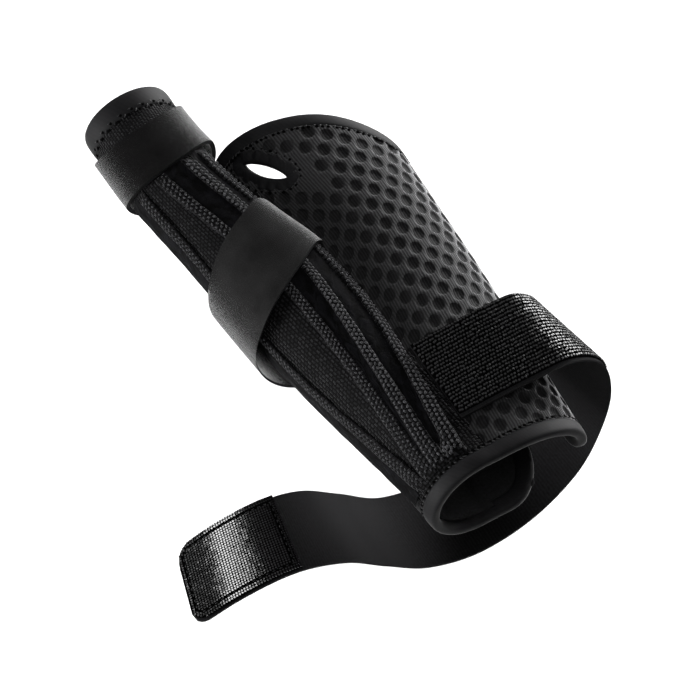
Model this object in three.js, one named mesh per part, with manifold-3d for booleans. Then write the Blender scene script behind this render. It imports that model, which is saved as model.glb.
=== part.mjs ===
// Thumb splint for a right hand, as worn with the back of the hand up and the wrist strap undone.
// A padded mesh sleeve has a hand tube and a thumb tube that share one hollow at the wrist.
// Millimetres. +Y runs along the forearm towards the fingers, +Z is up, and the thumb is at -X.
// The origin is the middle of the wrist hollow, level with the forearm edge.
import * as THREE from "three";
import { mergeVertices } from "three/addons/utils/BufferGeometryUtils.js";
import Module from "manifold-3d";

const wasm = await Module();
wasm.setup();

// Cloth and clearances
const WALL = 3; // spacer mesh, face to face
const GAP = 0.3; // between pieces that are sewn or laid together
const STRAP_THICKNESS = 1.6;
const HOOK_THICKNESS = 1.1;

// How finely the round shapes are faceted
const AROUND = 36;
const LENGTHWISE = 11;
const EDGING_SIDES = 8;
const EDGING_STEP = 5;

// The thumb tube: the outside of its wall is an oval at each y along the arm
const THUMB_SECTIONS = [
  { at: 0, x: -10, z: 1.8, halfWidth: 18.2, halfHeight: 18.5 },
  { at: 35, x: -14, z: 0.5, halfWidth: 18.2, halfHeight: 19.4 },
  { at: 70, x: -19, z: 0.5, halfWidth: 19, halfHeight: 18.7 },
  { at: 100, x: -24.5, z: 1.5, halfWidth: 18.2, halfHeight: 17.2 },
  { at: 120, x: -29.6, z: 3, halfWidth: 16, halfHeight: 15.6 },
  { at: 145, x: -34.2, z: 4, halfWidth: 15, halfHeight: 14.6 },
  { at: 182, x: -35, z: 4, halfWidth: 15.2, halfHeight: 13.8 },
];
const THUMB_TIP_Y = 174.4;

// The hand tube: the outside of its wall is an oval at each y along the arm
const HAND_SECTIONS = [
  { at: 0, x: 1, z: 1.8, halfWidth: 27.5, halfHeight: 18.6 },
  { at: 35, x: 4, z: 0.5, halfWidth: 27, halfHeight: 20 },
  { at: 70, x: 7.5, z: 0, halfWidth: 25.8, halfHeight: 20.5 },
  { at: 100, x: 9, z: 0, halfWidth: 25.4, halfHeight: 20.3 },
  { at: 125, x: 7.6, z: 0, halfWidth: 27.6, halfHeight: 20 },
  { at: 152, x: 6.6, z: 0, halfWidth: 28, halfHeight: 19.5 },
];

// The finger edge: the y that it reaches at each x, and how much lower it is on the palm
const FINGER_EDGE = [
  { at: -22, reach: 149 },
  { at: 0, reach: 142 },
  { at: 16, reach: 135.5 },
  { at: 35, reach: 123 },
];
const PALM_DROP = 9;

// The wrist opening with its notch on the little-finger side: corners by bearing round the wrist
const WRIST_CORNERS = [
  { bearing: -15, y: 68, radius: 5 },
  { bearing: -3, y: 1.5, radius: 5 },
  { bearing: 311, y: 1.5, radius: 16 },
  { bearing: 329, y: 68, radius: 5 },
];
const PATTERN_RADIUS = 24; // turns a bearing into millimetres on the flat pattern

// The oval hole in the web between thumb and hand, on the hand tube
const WEB_HOLE = { angle: 135, y: 129.5, halfLength: 10.5, halfWidth: 4.8, slant: 59, facets: 20 };

// How far the cutting plugs reach past the wall, inwards and outwards
const NOTCH_CUT = { inwards: -14, outwards: 22, below: -12 };
const WEB_CUT = { inwards: -8, outwards: 8 };
const PAST_ENDS = 0.12; // hollows run past a tube's ends by this share of its length

// Rolled edge binding: half of its height along the cloth, and half of its thickness
const EDGING = { halfHeight: 2.8, halfThickness: 2 };
const TIP_EDGING = { halfHeight: 4.1, halfThickness: 2 };
const WEB_EDGING = { halfHeight: 1.9, halfThickness: 2 };

// Stay ribs on the thumb tube: the bearing of each at a y along the arm, in degrees
const RIB = { width: 4.2, height: 1.7, sides: 5 };
const RIB_COURSES = [
  { at: 8, rib1: 93, rib2: 117, rib3: 134, rib4: 151 },
  { at: 35, rib1: 86, rib2: 110, rib3: 129, rib4: 150 },
  { at: 70, rib1: 68, rib2: 92, rib3: 116, rib4: 159 },
  { at: 97, rib1: 58, rib2: 82, rib3: 108, rib4: 163 },
  { at: 120, rib1: 56, rib2: 84, rib3: 114, rib4: 164 },
  { at: 150, rib1: 58, rib2: 92, rib3: 123, rib4: 164 },
];
const RIB_START_Y = 6;
const RIB_STEPS = 18;
const TAPE = { thickness: 0.7, steps: 2, lastWidth: 34 }; // the last one's width is in degrees

// Straps round the thumb: the slanting one has two edges, each with its lift, at bearings in degrees
const TIP_STRAP = { from: 150, to: 170, lift: 0.4 };
const BASE_STRAP_COURSE = [
  { at: 36, wristEdge: 98.5, handEdge: 121, wristLift: 0.6, handLift: 0.6 },
  { at: 58, wristEdge: 96.5, handEdge: 120, wristLift: 2.4, handLift: 2.4 },
  { at: 85, wristEdge: 90.5, handEdge: 116, wristLift: 2.5, handLift: 2.4 },
  { at: 115, wristEdge: 85, handEdge: 111.5, wristLift: 2.6, handLift: 2.4 },
  { at: 150, wristEdge: 80.5, handEdge: 106.5, wristLift: 3, handLift: 2.4 },
  { at: 185, wristEdge: 78.5, handEdge: 103, wristLift: 3.6, handLift: 2.4 },
  { at: 235, wristEdge: 75, handEdge: 100, wristLift: 3, handLift: 1.6 },
  { at: 300, wristEdge: 73, handEdge: 98, wristLift: 0.6, handLift: 0.6 },
];
const BAND = { across: 3, tipFacets: 30, baseFacets: 24 };

// The wrist strap: its edge nearest the forearm, and how far the other edge leans from square
const STRAP_WIDTH = 31;
const STRAP_COURSE = [
  { x: -7.5, y: 16, z: 21, leanX: 0, leanZ: 0 },
  { x: 6, y: 16, z: 21.6, leanX: 0, leanZ: 0.4 },
  { x: 20, y: 16, z: 21.8, leanX: -0.6, leanZ: 0.6 },
  { x: 33, y: 16, z: 20.6, leanX: -3.4, leanZ: 0.8 },
  { x: 43.5, y: 16, z: 11.6, leanX: -6.6, leanZ: 1 },
  { x: 47.6, y: 15.5, z: -7, leanX: -7, leanZ: 1 },
  { x: 44.2, y: 15, z: -26, leanX: -5, leanZ: 2 },
  { x: 36, y: 15, z: -45, leanX: -3, leanZ: 2 },
  { x: 20, y: 15.5, z: -60, leanX: 0, leanZ: 1 },
  { x: 1, y: 16, z: -65, leanX: 1, leanZ: 0 },
  { x: -18, y: 16, z: -58, leanX: 1, leanZ: -2 },
  { x: -34, y: 16, z: -43.5, leanX: 1, leanZ: -5 },
  { x: -49, y: 16, z: -29, leanX: 2, leanZ: -3 },
  { x: -67, y: 16, z: -21.8, leanX: 7, leanZ: -4 },
  { x: -86, y: 16, z: -20.2, leanX: 9, leanZ: -6 },
  { x: -103.5, y: 16, z: -23.5, leanX: 9.5, leanZ: -7 },
];
const STRAP_STEPS = 52;
const STRAP_ACROSS = 3;
const STRAP_CORNER = 6; // radius of the corners at the free end
const CORNER_STEPS = 4;
const HOOK_MARGIN = 1.3;
const STRAP_SPAN = { from: 0, to: 1 }; // shares of the strap's course
const HOOK_PATCH = { from: 0.004, to: 0.3 };
const HOOK_TAB = { from: 0.86, to: 0.996 };

// Finishes
const FINISH = {
  handMesh: { color: 0x1c1c1d, roughness: 0.85, metalness: 0 },
  thumbMesh: { color: 0x1a1a1b, roughness: 0.8, metalness: 0 },
  binding: { color: 0x202021, roughness: 0.7, metalness: 0 },
  tape: { color: 0x161617, roughness: 0.75, metalness: 0 },
  loopStrap: { color: 0x1e1e1f, roughness: 0.95, metalness: 0 },
  hook: { color: 0x0f0f10, roughness: 0.4, metalness: 0 },
};

const radians = THREE.MathUtils.degToRad;

// One column of a table, eased smoothly through its rows.
function column(rows, key, at) {
  const last = rows.length - 1;
  const slope = (i) => {
    const a = rows[Math.max(i - 1, 0)];
    const b = rows[Math.min(i + 1, last)];
    return (b[key] - a[key]) / (b.at - a.at);
  };
  if (at <= rows[0].at) return rows[0][key];
  if (at >= rows[last].at) return rows[last][key];
  const i = rows.findIndex((row) => row.at > at) - 1;
  const step = rows[i + 1].at - rows[i].at;
  const t = (at - rows[i].at) / step;
  const rise = rows[i + 1][key] - rows[i][key];
  const bend = slope(i) * step * t * (1 - t) ** 2 - slope(i + 1) * step * t * t * (1 - t);
  return rows[i][key] + rise * t * t * (3 - 2 * t) + bend;
}

// A tube of ovals: points on its surface, lifted off it by any distance.
function tubeSurface(rows) {
  return (angle, y, lift = 0) =>
    new THREE.Vector3(
      column(rows, "x", y) + (column(rows, "halfWidth", y) + lift) * Math.cos(angle),
      y,
      column(rows, "z", y) + (column(rows, "halfHeight", y) + lift) * Math.sin(angle),
    );
}

const thumbTube = tubeSurface(THUMB_SECTIONS);
const handTube = tubeSurface(HAND_SECTIONS);

// How far a tube's oval reaches from the arm's axis, at a bearing.
function reachOf(rows, bearing, y, lift) {
  const a = column(rows, "halfWidth", y) + lift;
  const b = column(rows, "halfHeight", y) + lift;
  const x = column(rows, "x", y) / a;
  const z = column(rows, "z", y) / b;
  const u = Math.cos(bearing) / a;
  const v = Math.sin(bearing) / b;
  const size = u * u + v * v;
  const along = x * u + z * v;
  return (along + Math.sqrt(Math.max(along * along - size * (x * x + z * z - 1), 0))) / size;
}

// The outside of both tubes together, by bearing round the arm's axis.
function sleeveSurface(bearing, y, lift = 0) {
  const reach = Math.max(
    reachOf(THUMB_SECTIONS, bearing, y, lift),
    reachOf(HAND_SECTIONS, bearing, y, lift),
  );
  return new THREE.Vector3(reach * Math.cos(bearing), y, reach * Math.sin(bearing));
}

// The way out of a surface at a point of it.
function outward(surface, angle, y, lift) {
  const turn = 0.02;
  const slide = 0.5;
  const round = surface(angle + turn, y, lift).sub(surface(angle - turn, y, lift));
  const along = surface(angle, y + slide, lift).sub(surface(angle, y - slide, lift));
  return along.cross(round).normalize();
}

// Where the finger edge crosses the hand tube's line at an angle.
function fingerEdge(angle) {
  const palm = (PALM_DROP * (1 - Math.sin(angle))) / 2;
  const passes = 12;
  let y = FINGER_EDGE[0].reach;
  for (let pass = 0; pass < passes; pass++) y = column(FINGER_EDGE, "reach", handTube(angle, y).x) - palm;
  return y;
}

// A closed body from rings of points: its two ends are capped, or joined where it is a loop.
function skin(rings, loop = false) {
  const sides = rings[0].length;
  const points = rings.flat();
  const faces = [];
  const links = loop ? rings.length : rings.length - 1;
  for (let r = 0; r < links; r++) {
    const near = r * sides;
    const far = ((r + 1) % rings.length) * sides;
    for (let s = 0; s < sides; s++) {
      const t = (s + 1) % sides;
      faces.push(near + s, far + s, far + t, near + s, far + t, near + t);
    }
  }
  if (!loop) {
    const end = (rings.length - 1) * sides;
    for (const [start, ring, turn] of [[0, rings[0], 1], [end, rings.at(-1), -1]]) {
      const middle = points.length;
      points.push(ring.reduce((sum, p) => sum.add(p), new THREE.Vector3()).divideScalar(sides));
      for (let s = 0; s < sides; s++) {
        const pair = [start + s, start + ((s + 1) % sides)];
        faces.push(middle, ...(turn > 0 ? pair : pair.reverse()));
      }
    }
  }
  return facingOut(points, faces);
}

// A geometry whose faces are turned so that they point out of the body.
function facingOut(points, faces) {
  const volume = faces.reduce((sum, _, i) => {
    if (i % 3) return sum;
    const [a, b, c] = [points[faces[i]], points[faces[i + 1]], points[faces[i + 2]]];
    return sum + a.dot(b.clone().cross(c));
  }, 0);
  if (volume < 0) faces.reverse();
  return new THREE.BufferGeometry().setFromPoints(points).setIndex(faces);
}

// Geometry to solid and back, for the joins and cuts.
function solidOf(geometry) {
  const bare = new THREE.BufferGeometry().setIndex(geometry.index);
  bare.setAttribute("position", geometry.getAttribute("position"));
  const merged = mergeVertices(bare, 1e-4);
  return new wasm.Manifold(
    new wasm.Mesh({
      numProp: 3,
      vertProperties: merged.attributes.position.array,
      triVerts: new Uint32Array(merged.index.array),
    }),
  );
}

function geometryOf(solid) {
  const largest = solid.decompose().reduce((a, b) => (a.volume() > b.volume() ? a : b));
  const { vertProperties, triVerts } = largest.getMesh();
  const geometry = new THREE.BufferGeometry();
  geometry.setAttribute("position", new THREE.BufferAttribute(new Float32Array(vertProperties), 3));
  geometry.setIndex(new THREE.BufferAttribute(new Uint32Array(triVerts), 1));
  return geometry;
}

// A filled tube from the wrist edge to an end given by its y at every angle, or past both of them.
function filledTube(surface, endAt, lift, past = 0) {
  const shares = Array.from({ length: LENGTHWISE + 1 }, (_, i) => i / LENGTHWISE);
  const stations = past ? [-past, ...shares, 1 + past] : shares;
  const angles = Array.from({ length: AROUND }, (_, i) => (2 * Math.PI * i) / AROUND);
  return skin(stations.map((share) => angles.map((angle) => surface(angle, endAt(angle) * share, lift))));
}

// A plug through the wall with a flat outline, given as { angle, y } points on a surface.
function wallPlug(surface, outline, { inwards, outwards }) {
  const pattern = (p) => new THREE.Vector2(p.angle * PATTERN_RADIUS, p.y);
  const turned = THREE.ShapeUtils.area(outline.map(pattern)) < 0;
  const ring = turned ? [...outline].reverse() : outline;
  const count = ring.length;
  const points = [inwards, outwards].flatMap((lift) => ring.map((p) => surface(p.angle, p.y, lift)));
  const faces = [];
  for (const [a, b, c] of THREE.ShapeUtils.triangulateShape(ring.map(pattern), [])) {
    faces.push(a, b, c, count + a, count + c, count + b);
  }
  for (let i = 0; i < count; i++) {
    const j = (i + 1) % count;
    faces.push(i, count + i, count + j, i, count + j, j);
  }
  return facingOut(points, faces);
}

// Rolled binding along a closed loop of { angle, y } points, at the middle of the wall.
function edging(surface, loop, { halfHeight, halfThickness }, extra = 0) {
  const middle = -WALL / 2;
  const centres = loop.map((p) => surface(p.angle, p.y, middle));
  const count = loop.length;
  const rings = loop.map((p, i) => {
    const out = outward(surface, p.angle, p.y, middle);
    const along = centres[(i + 1) % count].clone().sub(centres[(i + count - 1) % count]).normalize();
    const across = along.cross(out).normalize();
    return Array.from({ length: EDGING_SIDES }, (_, s) => {
      const turn = (2 * Math.PI * (s + 0.5)) / EDGING_SIDES;
      return centres[i]
        .clone()
        .addScaledVector(across, (halfHeight + extra) * Math.cos(turn))
        .addScaledVector(out, (halfThickness + extra) * Math.sin(turn));
    });
  });
  return skin(rings, true);
}

// Loops that the bindings follow
function ringLoop(yAt, radius) {
  const count = Math.round((2 * Math.PI * radius) / EDGING_STEP);
  return Array.from({ length: count }, (_, i) => {
    const angle = (2 * Math.PI * i) / count;
    return { angle, y: yAt(angle) };
  });
}

function wristLoop() {
  const flat = WRIST_CORNERS.map((c) => new THREE.Vector2(radians(c.bearing) * PATTERN_RADIUS, c.y));
  const turnLength = 2 * Math.PI * PATTERN_RADIUS;
  const notchMiddle = (flat[0].x + flat.at(-1).x - turnLength) / 2;
  const ends = [notchMiddle, notchMiddle + turnLength].map((x) => new THREE.Vector2(x, flat[0].y));
  const stops = [ends[0], ...flat, ends[1]];
  const path = new THREE.Path().moveTo(ends[0].x, ends[0].y);
  WRIST_CORNERS.forEach(({ radius }, i) => {
    const [before, corner, after] = stops.slice(i, i + 3);
    const enter = corner.clone().add(before.clone().sub(corner).setLength(radius));
    const leave = corner.clone().add(after.clone().sub(corner).setLength(radius));
    path.lineTo(enter.x, enter.y).quadraticCurveTo(corner.x, corner.y, leave.x, leave.y);
  });
  path.lineTo(ends[1].x, ends[1].y);
  const points = path.getSpacedPoints(Math.round(path.getLength() / EDGING_STEP)).slice(0, -1);
  return points.map((p) => ({ angle: p.x / PATTERN_RADIUS, y: p.y }));
}

// The notch's own outline, closed below the wrist edge.
function notchOutline(loop) {
  const wristEdge = Math.min(...loop.map((p) => p.y));
  const turn = 2 * Math.PI;
  const raised = loop.filter((p) => p.y > wristEdge + GAP);
  const upperFlap = raised.filter((p) => p.angle < Math.PI);
  const lowerFlap = raised.filter((p) => p.angle > Math.PI).map((p) => ({ ...p, angle: p.angle - turn }));
  const outline = [...lowerFlap, ...upperFlap];
  const ends = [outline.at(-1), outline[0]].map((p) => ({ ...p, y: NOTCH_CUT.below }));
  return [...outline, ...ends];
}

function webLoop() {
  const { angle, y, halfLength, halfWidth, slant, facets } = WEB_HOLE;
  const lean = radians(slant);
  return Array.from({ length: facets }, (_, i) => {
    const turn = (2 * Math.PI * i) / facets;
    const [long, short] = [halfLength * Math.cos(turn), halfWidth * Math.sin(turn)];
    const round = long * Math.cos(lean) - short * Math.sin(lean);
    const along = long * Math.sin(lean) + short * Math.cos(lean);
    return { angle: radians(angle) + round / PATTERN_RADIUS, y: y + along };
  });
}

// A flat band round the thumb tube between two edges, each eased through a table by bearing.
function wrappedBand(course, bearings, loop) {
  const rings = bearings.map((bearing) => {
    const value = (key) => column(course, key, bearing);
    const angle = radians(bearing);
    const place = (share, lift) => {
      const y = THREE.MathUtils.lerp(value("wristEdge"), value("handEdge"), share);
      const rest = THREE.MathUtils.lerp(value("wristLift"), value("handLift"), share);
      return thumbTube(angle, y, rest + lift);
    };
    const shares = Array.from({ length: BAND.across + 1 }, (_, i) => i / BAND.across);
    const under = shares.map((share) => place(share, 0));
    const over = shares.reverse().map((share) => place(share, STRAP_THICKNESS));
    return [...under, ...over];
  });
  return skin(rings, loop);
}

// A rib of half-round section along the thumb tube.
function ribGeometry(key) {
  const rings = alongRibs((y) => {
    const angle = radians(column(RIB_COURSES, key, y));
    const base = thumbTube(angle, y, GAP);
    const out = outward(thumbTube, angle, y, 0);
    const across = new THREE.Vector3(0, 1, 0).cross(out).normalize();
    return Array.from({ length: RIB.sides + 1 }, (_, i) => {
      const turn = (Math.PI * i) / RIB.sides;
      return base
        .clone()
        .addScaledVector(across, (RIB.width / 2) * Math.cos(turn))
        .addScaledVector(out, RIB.height * Math.sin(turn));
    });
  });
  return skin(rings);
}

// A smooth tape between two ribs, or past the last one.
function tapeGeometry(fromKey, toKey, pastDegrees = 0) {
  const clear = RIB.width / 2 + GAP;
  const rings = alongRibs((y) => {
    const radius = column(THUMB_SECTIONS, "halfHeight", y);
    const first = radians(column(RIB_COURSES, fromKey, y)) + clear / radius;
    const last = radians(column(RIB_COURSES, toKey, y) + pastDegrees) - clear / radius;
    const angles = Array.from({ length: TAPE.steps + 1 }, (_, i) =>
      THREE.MathUtils.lerp(first, last, i / TAPE.steps),
    );
    const under = angles.map((angle) => thumbTube(angle, y, GAP));
    const over = angles.reverse().map((angle) => thumbTube(angle, y, GAP + TAPE.thickness));
    return [...under, ...over];
  });
  return skin(rings);
}

function alongRibs(ringAt) {
  const end = TIP_STRAP.from - GAP;
  return Array.from({ length: RIB_STEPS + 1 }, (_, i) =>
    ringAt(THREE.MathUtils.lerp(RIB_START_Y, end, i / RIB_STEPS)),
  );
}

// The wrist strap's two edges as smooth curves.
const strapNearEdge = new THREE.CatmullRomCurve3(STRAP_COURSE.map((r) => new THREE.Vector3(r.x, r.y, r.z)));
const strapFarEdge = new THREE.CatmullRomCurve3(
  STRAP_COURSE.map((r) => {
    const rise = Math.sqrt(STRAP_WIDTH ** 2 - r.leanX ** 2 - r.leanZ ** 2);
    return new THREE.Vector3(r.x + r.leanX, r.y + rise, r.z + r.leanZ);
  }),
);

// A layer of the strap: a share of its course, inset from its edges, between two heights off its middle.
function strapLayer({ from, to }, margin, low, high, corner = 0) {
  const perMillimetre = 1 / strapNearEdge.getLength();
  const straight = to - corner * perMillimetre;
  const apart = 0.2 / STRAP_STEPS;
  const even = Array.from({ length: STRAP_STEPS }, (_, i) => i / STRAP_STEPS);
  const between = even.filter((share) => share > from + apart && share < straight - apart);
  const stations = [from, ...between, straight].map((share) => ({ share, inset: margin }));
  for (let i = 1; corner && i <= CORNER_STEPS; i++) {
    const turn = (Math.PI / 2) * (i / CORNER_STEPS);
    const share = straight + corner * perMillimetre * Math.sin(turn);
    stations.push({ share, inset: margin + corner * (1 - Math.cos(turn)) });
  }
  const rings = stations.map(({ share, inset }) => {
    const near = strapNearEdge.getPoint(share);
    const far = strapFarEdge.getPoint(share);
    const across = far.clone().sub(near).normalize();
    const along = strapNearEdge.getTangent(share).add(strapFarEdge.getTangent(share)).normalize();
    const out = along.cross(across).normalize();
    near.addScaledVector(across, inset);
    far.addScaledVector(across, -inset);
    const lifted = (part, lift) => near.clone().lerp(far, part).addScaledVector(out, lift);
    const parts = Array.from({ length: STRAP_ACROSS + 1 }, (_, i) => i / STRAP_ACROSS);
    const under = parts.map((part) => lifted(part, low));
    const over = parts.reverse().map((part) => lifted(part, high));
    return [...under, ...over];
  });
  return skin(rings);
}

// Sleeve walls: the hand tube's cloth stops at the thumb tube's, where the two are sewn.
const thumbTip = () => THUMB_TIP_Y;
const thumbForm = solidOf(filledTube(thumbTube, thumbTip, 0));
const thumbHollow = solidOf(filledTube(thumbTube, thumbTip, -WALL, PAST_ENDS));
const thumbClear = solidOf(filledTube(thumbTube, thumbTip, GAP, PAST_ENDS));
const handForm = solidOf(filledTube(handTube, fingerEdge, 0));
const handHollow = solidOf(filledTube(handTube, fingerEdge, -WALL, PAST_ENDS));
const handClear = solidOf(filledTube(handTube, fingerEdge, GAP, PAST_ENDS));

const wristPath = wristLoop();
const webPath = webLoop();
const tipPath = ringLoop(thumbTip, THUMB_SECTIONS.at(-1).halfWidth);
const fingerPath = ringLoop(fingerEdge, HAND_SECTIONS.at(-1).halfWidth);
const notch = solidOf(wallPlug(sleeveSurface, notchOutline(wristPath), NOTCH_CUT));
const webOpening = solidOf(wallPlug(handTube, webPath, WEB_CUT));
const boundEdges = [
  edging(sleeveSurface, wristPath, EDGING, GAP),
  edging(thumbTube, tipPath, TIP_EDGING, GAP),
  edging(handTube, fingerPath, EDGING, GAP),
  edging(handTube, webPath, WEB_EDGING, GAP),
].map(solidOf);
const trimmed = (wall) => boundEdges.reduce((rest, edge) => rest.subtract(edge), wall);

const thumbWall = trimmed(thumbForm.subtract(thumbHollow).subtract(handHollow));
const handCuts = [handHollow, thumbHollow, thumbClear, notch, webOpening];
const handWall = trimmed(handCuts.reduce((rest, cut) => rest.subtract(cut), handForm));

const splint = new THREE.Group();

function add(name, geometry, finish) {
  geometry.computeVertexNormals();
  const mesh = new THREE.Mesh(geometry, new THREE.MeshStandardMaterial(FINISH[finish]));
  mesh.name = name;
  splint.add(mesh);
}

// Bearings for the facets of a band, all the way round or between the ends of its table.
const tipBearings = Array.from({ length: BAND.tipFacets }, (_, i) => (360 * i) / BAND.tipFacets);
const [baseStart, baseEnd] = [BASE_STRAP_COURSE[0].at, BASE_STRAP_COURSE.at(-1).at];
const baseBearings = Array.from({ length: BAND.baseFacets + 1 }, (_, i) =>
  THREE.MathUtils.lerp(baseStart, baseEnd, i / BAND.baseFacets),
);
const { from: wristEdge, to: handEdge, lift } = TIP_STRAP;
const tipStrapCourse = [{ at: 0, wristEdge, handEdge, wristLift: lift, handLift: lift }];

add("thumb_panel", geometryOf(thumbWall), "thumbMesh");
add("hand_panel", geometryOf(handWall), "handMesh");
add("wrist_binding", edging(sleeveSurface, wristPath, EDGING), "binding");
add("thumb_tip_binding", edging(thumbTube, tipPath, TIP_EDGING), "binding");
const besideThumb = (geometry) => geometryOf(solidOf(geometry).subtract(thumbClear));
add("finger_edge_binding", besideThumb(edging(handTube, fingerPath, EDGING)), "binding");
add("web_hole_binding", besideThumb(edging(handTube, webPath, WEB_EDGING)), "binding");
for (const key of ["rib1", "rib2", "rib3", "rib4"]) add(`stay_${key}`, ribGeometry(key), "thumbMesh");
add("stay_tape1", tapeGeometry("rib1", "rib2"), "tape");
add("stay_tape2", tapeGeometry("rib2", "rib3"), "tape");
add("stay_tape3", tapeGeometry("rib4", "rib4", TAPE.lastWidth), "tape");
add("thumb_tip_strap", wrappedBand(tipStrapCourse, tipBearings, true), "loopStrap");
const baseStrap = solidOf(wrappedBand(BASE_STRAP_COURSE, baseBearings, false));
add("thumb_base_strap", geometryOf(baseStrap.subtract(handClear)), "loopStrap");
const halfStrap = STRAP_THICKNESS / 2;
add("wrist_strap", strapLayer(STRAP_SPAN, 0, -halfStrap, halfStrap, STRAP_CORNER), "loopStrap");
const hookLow = halfStrap + GAP;
const hookHigh = hookLow + HOOK_THICKNESS;
add("hook_patch", strapLayer(HOOK_PATCH, HOOK_MARGIN, hookLow, hookHigh), "hook");
add("hook_tab", strapLayer(HOOK_TAB, HOOK_MARGIN / 2, -hookHigh, -hookLow, STRAP_CORNER), "hook");

export default splint;
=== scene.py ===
import math
import bpy
import bmesh
from mathutils import Matrix, Vector, noise


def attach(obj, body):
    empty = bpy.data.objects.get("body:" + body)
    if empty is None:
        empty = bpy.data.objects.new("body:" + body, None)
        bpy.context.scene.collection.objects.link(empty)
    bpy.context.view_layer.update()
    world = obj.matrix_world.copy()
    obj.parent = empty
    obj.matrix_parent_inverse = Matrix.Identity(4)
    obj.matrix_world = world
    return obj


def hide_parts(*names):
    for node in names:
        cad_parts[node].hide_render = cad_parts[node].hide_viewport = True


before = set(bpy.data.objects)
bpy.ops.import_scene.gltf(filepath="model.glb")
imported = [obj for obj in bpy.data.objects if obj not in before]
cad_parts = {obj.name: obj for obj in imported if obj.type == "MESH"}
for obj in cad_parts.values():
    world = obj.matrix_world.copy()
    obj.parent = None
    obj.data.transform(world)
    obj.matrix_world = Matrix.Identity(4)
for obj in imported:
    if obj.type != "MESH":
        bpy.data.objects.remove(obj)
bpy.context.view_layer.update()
mm = 0.001
wall = 3.0  # spacer mesh, face to face, in millimetres as everything below
seat = 0.3  # pieces that are sewn or laid together keep this apart


# Sizes that the pieces share

def table(columns, *rows):
    return [dict(zip(columns.split(), row)) for row in rows]


thumbSections = table(
    "at x z halfWidth halfHeight",
    (0, -10, 1.8, 18.2, 18.5),
    (35, -14, 0.5, 18.2, 19.4),
    (70, -19, 0.5, 19, 18.7),
    (100, -24.5, 1.5, 18.2, 17.2),
    (120, -29.6, 3, 16, 15.6),
    (145, -34.2, 4, 15, 14.6),
    (182, -35, 4, 15.2, 13.8),
)
thumbTip = 174.4
handSections = table(
    "at x z halfWidth halfHeight",
    (0, 1, 1.8, 27.5, 18.6),
    (35, 4, 0.5, 27, 20),
    (70, 7.5, 0, 25.8, 20.5),
    (100, 9, 0, 25.4, 20.3),
    (125, 7.6, 0, 27.6, 20),
    (152, 6.6, 0, 28, 19.5),
)
fingerEdgeRows = table("at reach", (-22, 149), (0, 142), (16, 135.5), (35, 123))
palmDrop = 9
wristCorners = table(
    "bearing y radius",
    (-15, 68, 5),
    (-3, 1.5, 5),
    (311, 1.5, 16),
    (329, 68, 5),
)
patternRadius = 24  # turns a bearing into millimetres on the flat pattern
webHole = {"angle": 132, "y": 131.3, "halfLength": 10.0, "halfWidth": 3.8, "slant": 59}


# Surfaces that the pieces lie on

easedFound = {}  # values already worked out


def eased(rows, key, at):
    mark = (id(rows), key, at)
    if mark not in easedFound:
        easedFound[mark] = easedAt(rows, key, at)
    return easedFound[mark]


def easedAt(rows, key, at):
    # one column of a table, eased smoothly through its rows
    last = len(rows) - 1
    if at <= rows[0]["at"]:
        return rows[0][key]
    if at >= rows[last]["at"]:
        return rows[last][key]
    i = max(k for k in range(last) if rows[k]["at"] <= at)

    def slope(k):
        a, b = rows[max(k - 1, 0)], rows[min(k + 1, last)]
        return (b[key] - a[key]) / (b["at"] - a["at"])

    step = rows[i + 1]["at"] - rows[i]["at"]
    t = (at - rows[i]["at"]) / step
    rise = rows[i + 1][key] - rows[i][key]
    bend = slope(i) * step * t * (1 - t) ** 2 - slope(i + 1) * step * t * t * (1 - t)
    return rows[i][key] + rise * t * t * (3 - 2 * t) + bend


def onTube(rows, angle, y, lift=0):
    return Vector((
        eased(rows, "x", y) + (eased(rows, "halfWidth", y) + lift) * math.cos(angle),
        y,
        eased(rows, "z", y) + (eased(rows, "halfHeight", y) + lift) * math.sin(angle),
    ))


def onThumb(angle, y, lift=0):
    return onTube(thumbSections, angle, y, lift)


def onHand(angle, y, lift=0):
    return onTube(handSections, angle, y, lift)


def within(rows, point, lift):
    # below 1 where the point is inside a tube's oval
    a = eased(rows, "halfWidth", point.y) + lift
    b = eased(rows, "halfHeight", point.y) + lift
    x = (point.x - eased(rows, "x", point.y)) / a
    z = (point.z - eased(rows, "z", point.y)) / b
    return math.hypot(x, z)


def reachOf(rows, bearing, y, lift):
    # how far a tube's oval reaches from the arm's axis
    a = eased(rows, "halfWidth", y) + lift
    b = eased(rows, "halfHeight", y) + lift
    x, z = eased(rows, "x", y) / a, eased(rows, "z", y) / b
    u, v = math.cos(bearing) / a, math.sin(bearing) / b
    size, along = u * u + v * v, x * u + z * v
    return (along + math.sqrt(max(along * along - size * (x * x + z * z - 1), 0))) / size


def onSleeve(bearing, y, lift=0):
    reaches = [reachOf(rows, bearing, y, lift) for rows in (thumbSections, handSections)]
    blend = 0.9  # no crease where the two tubes meet
    reach = max(reaches) + blend * math.log1p(math.exp(-abs(reaches[0] - reaches[1]) / blend))
    return Vector((reach * math.cos(bearing), y, reach * math.sin(bearing)))


def handAngle(point):
    # the hand tube's own angle at a point of it
    y = point.y
    z = (point.z - eased(handSections, "z", y)) / eased(handSections, "halfHeight", y)
    x = (point.x - eased(handSections, "x", y)) / eased(handSections, "halfWidth", y)
    return math.atan2(z, x)


def slidTo(start, test, reach):
    # the nearest place to the start, both ways, where the test passes through 1
    for step in range(24):
        for way in (1, -1):
            a, b = start + way * reach * step / 24, start + way * reach * (step + 1) / 24
            if (test(a) < 1) == (test(b) < 1):
                continue
            for _ in range(12):
                half = (a + b) / 2
                a, b = (half, b) if (test(half) < 1) == (test(a) < 1) else (a, half)
            return a
    return start


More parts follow.
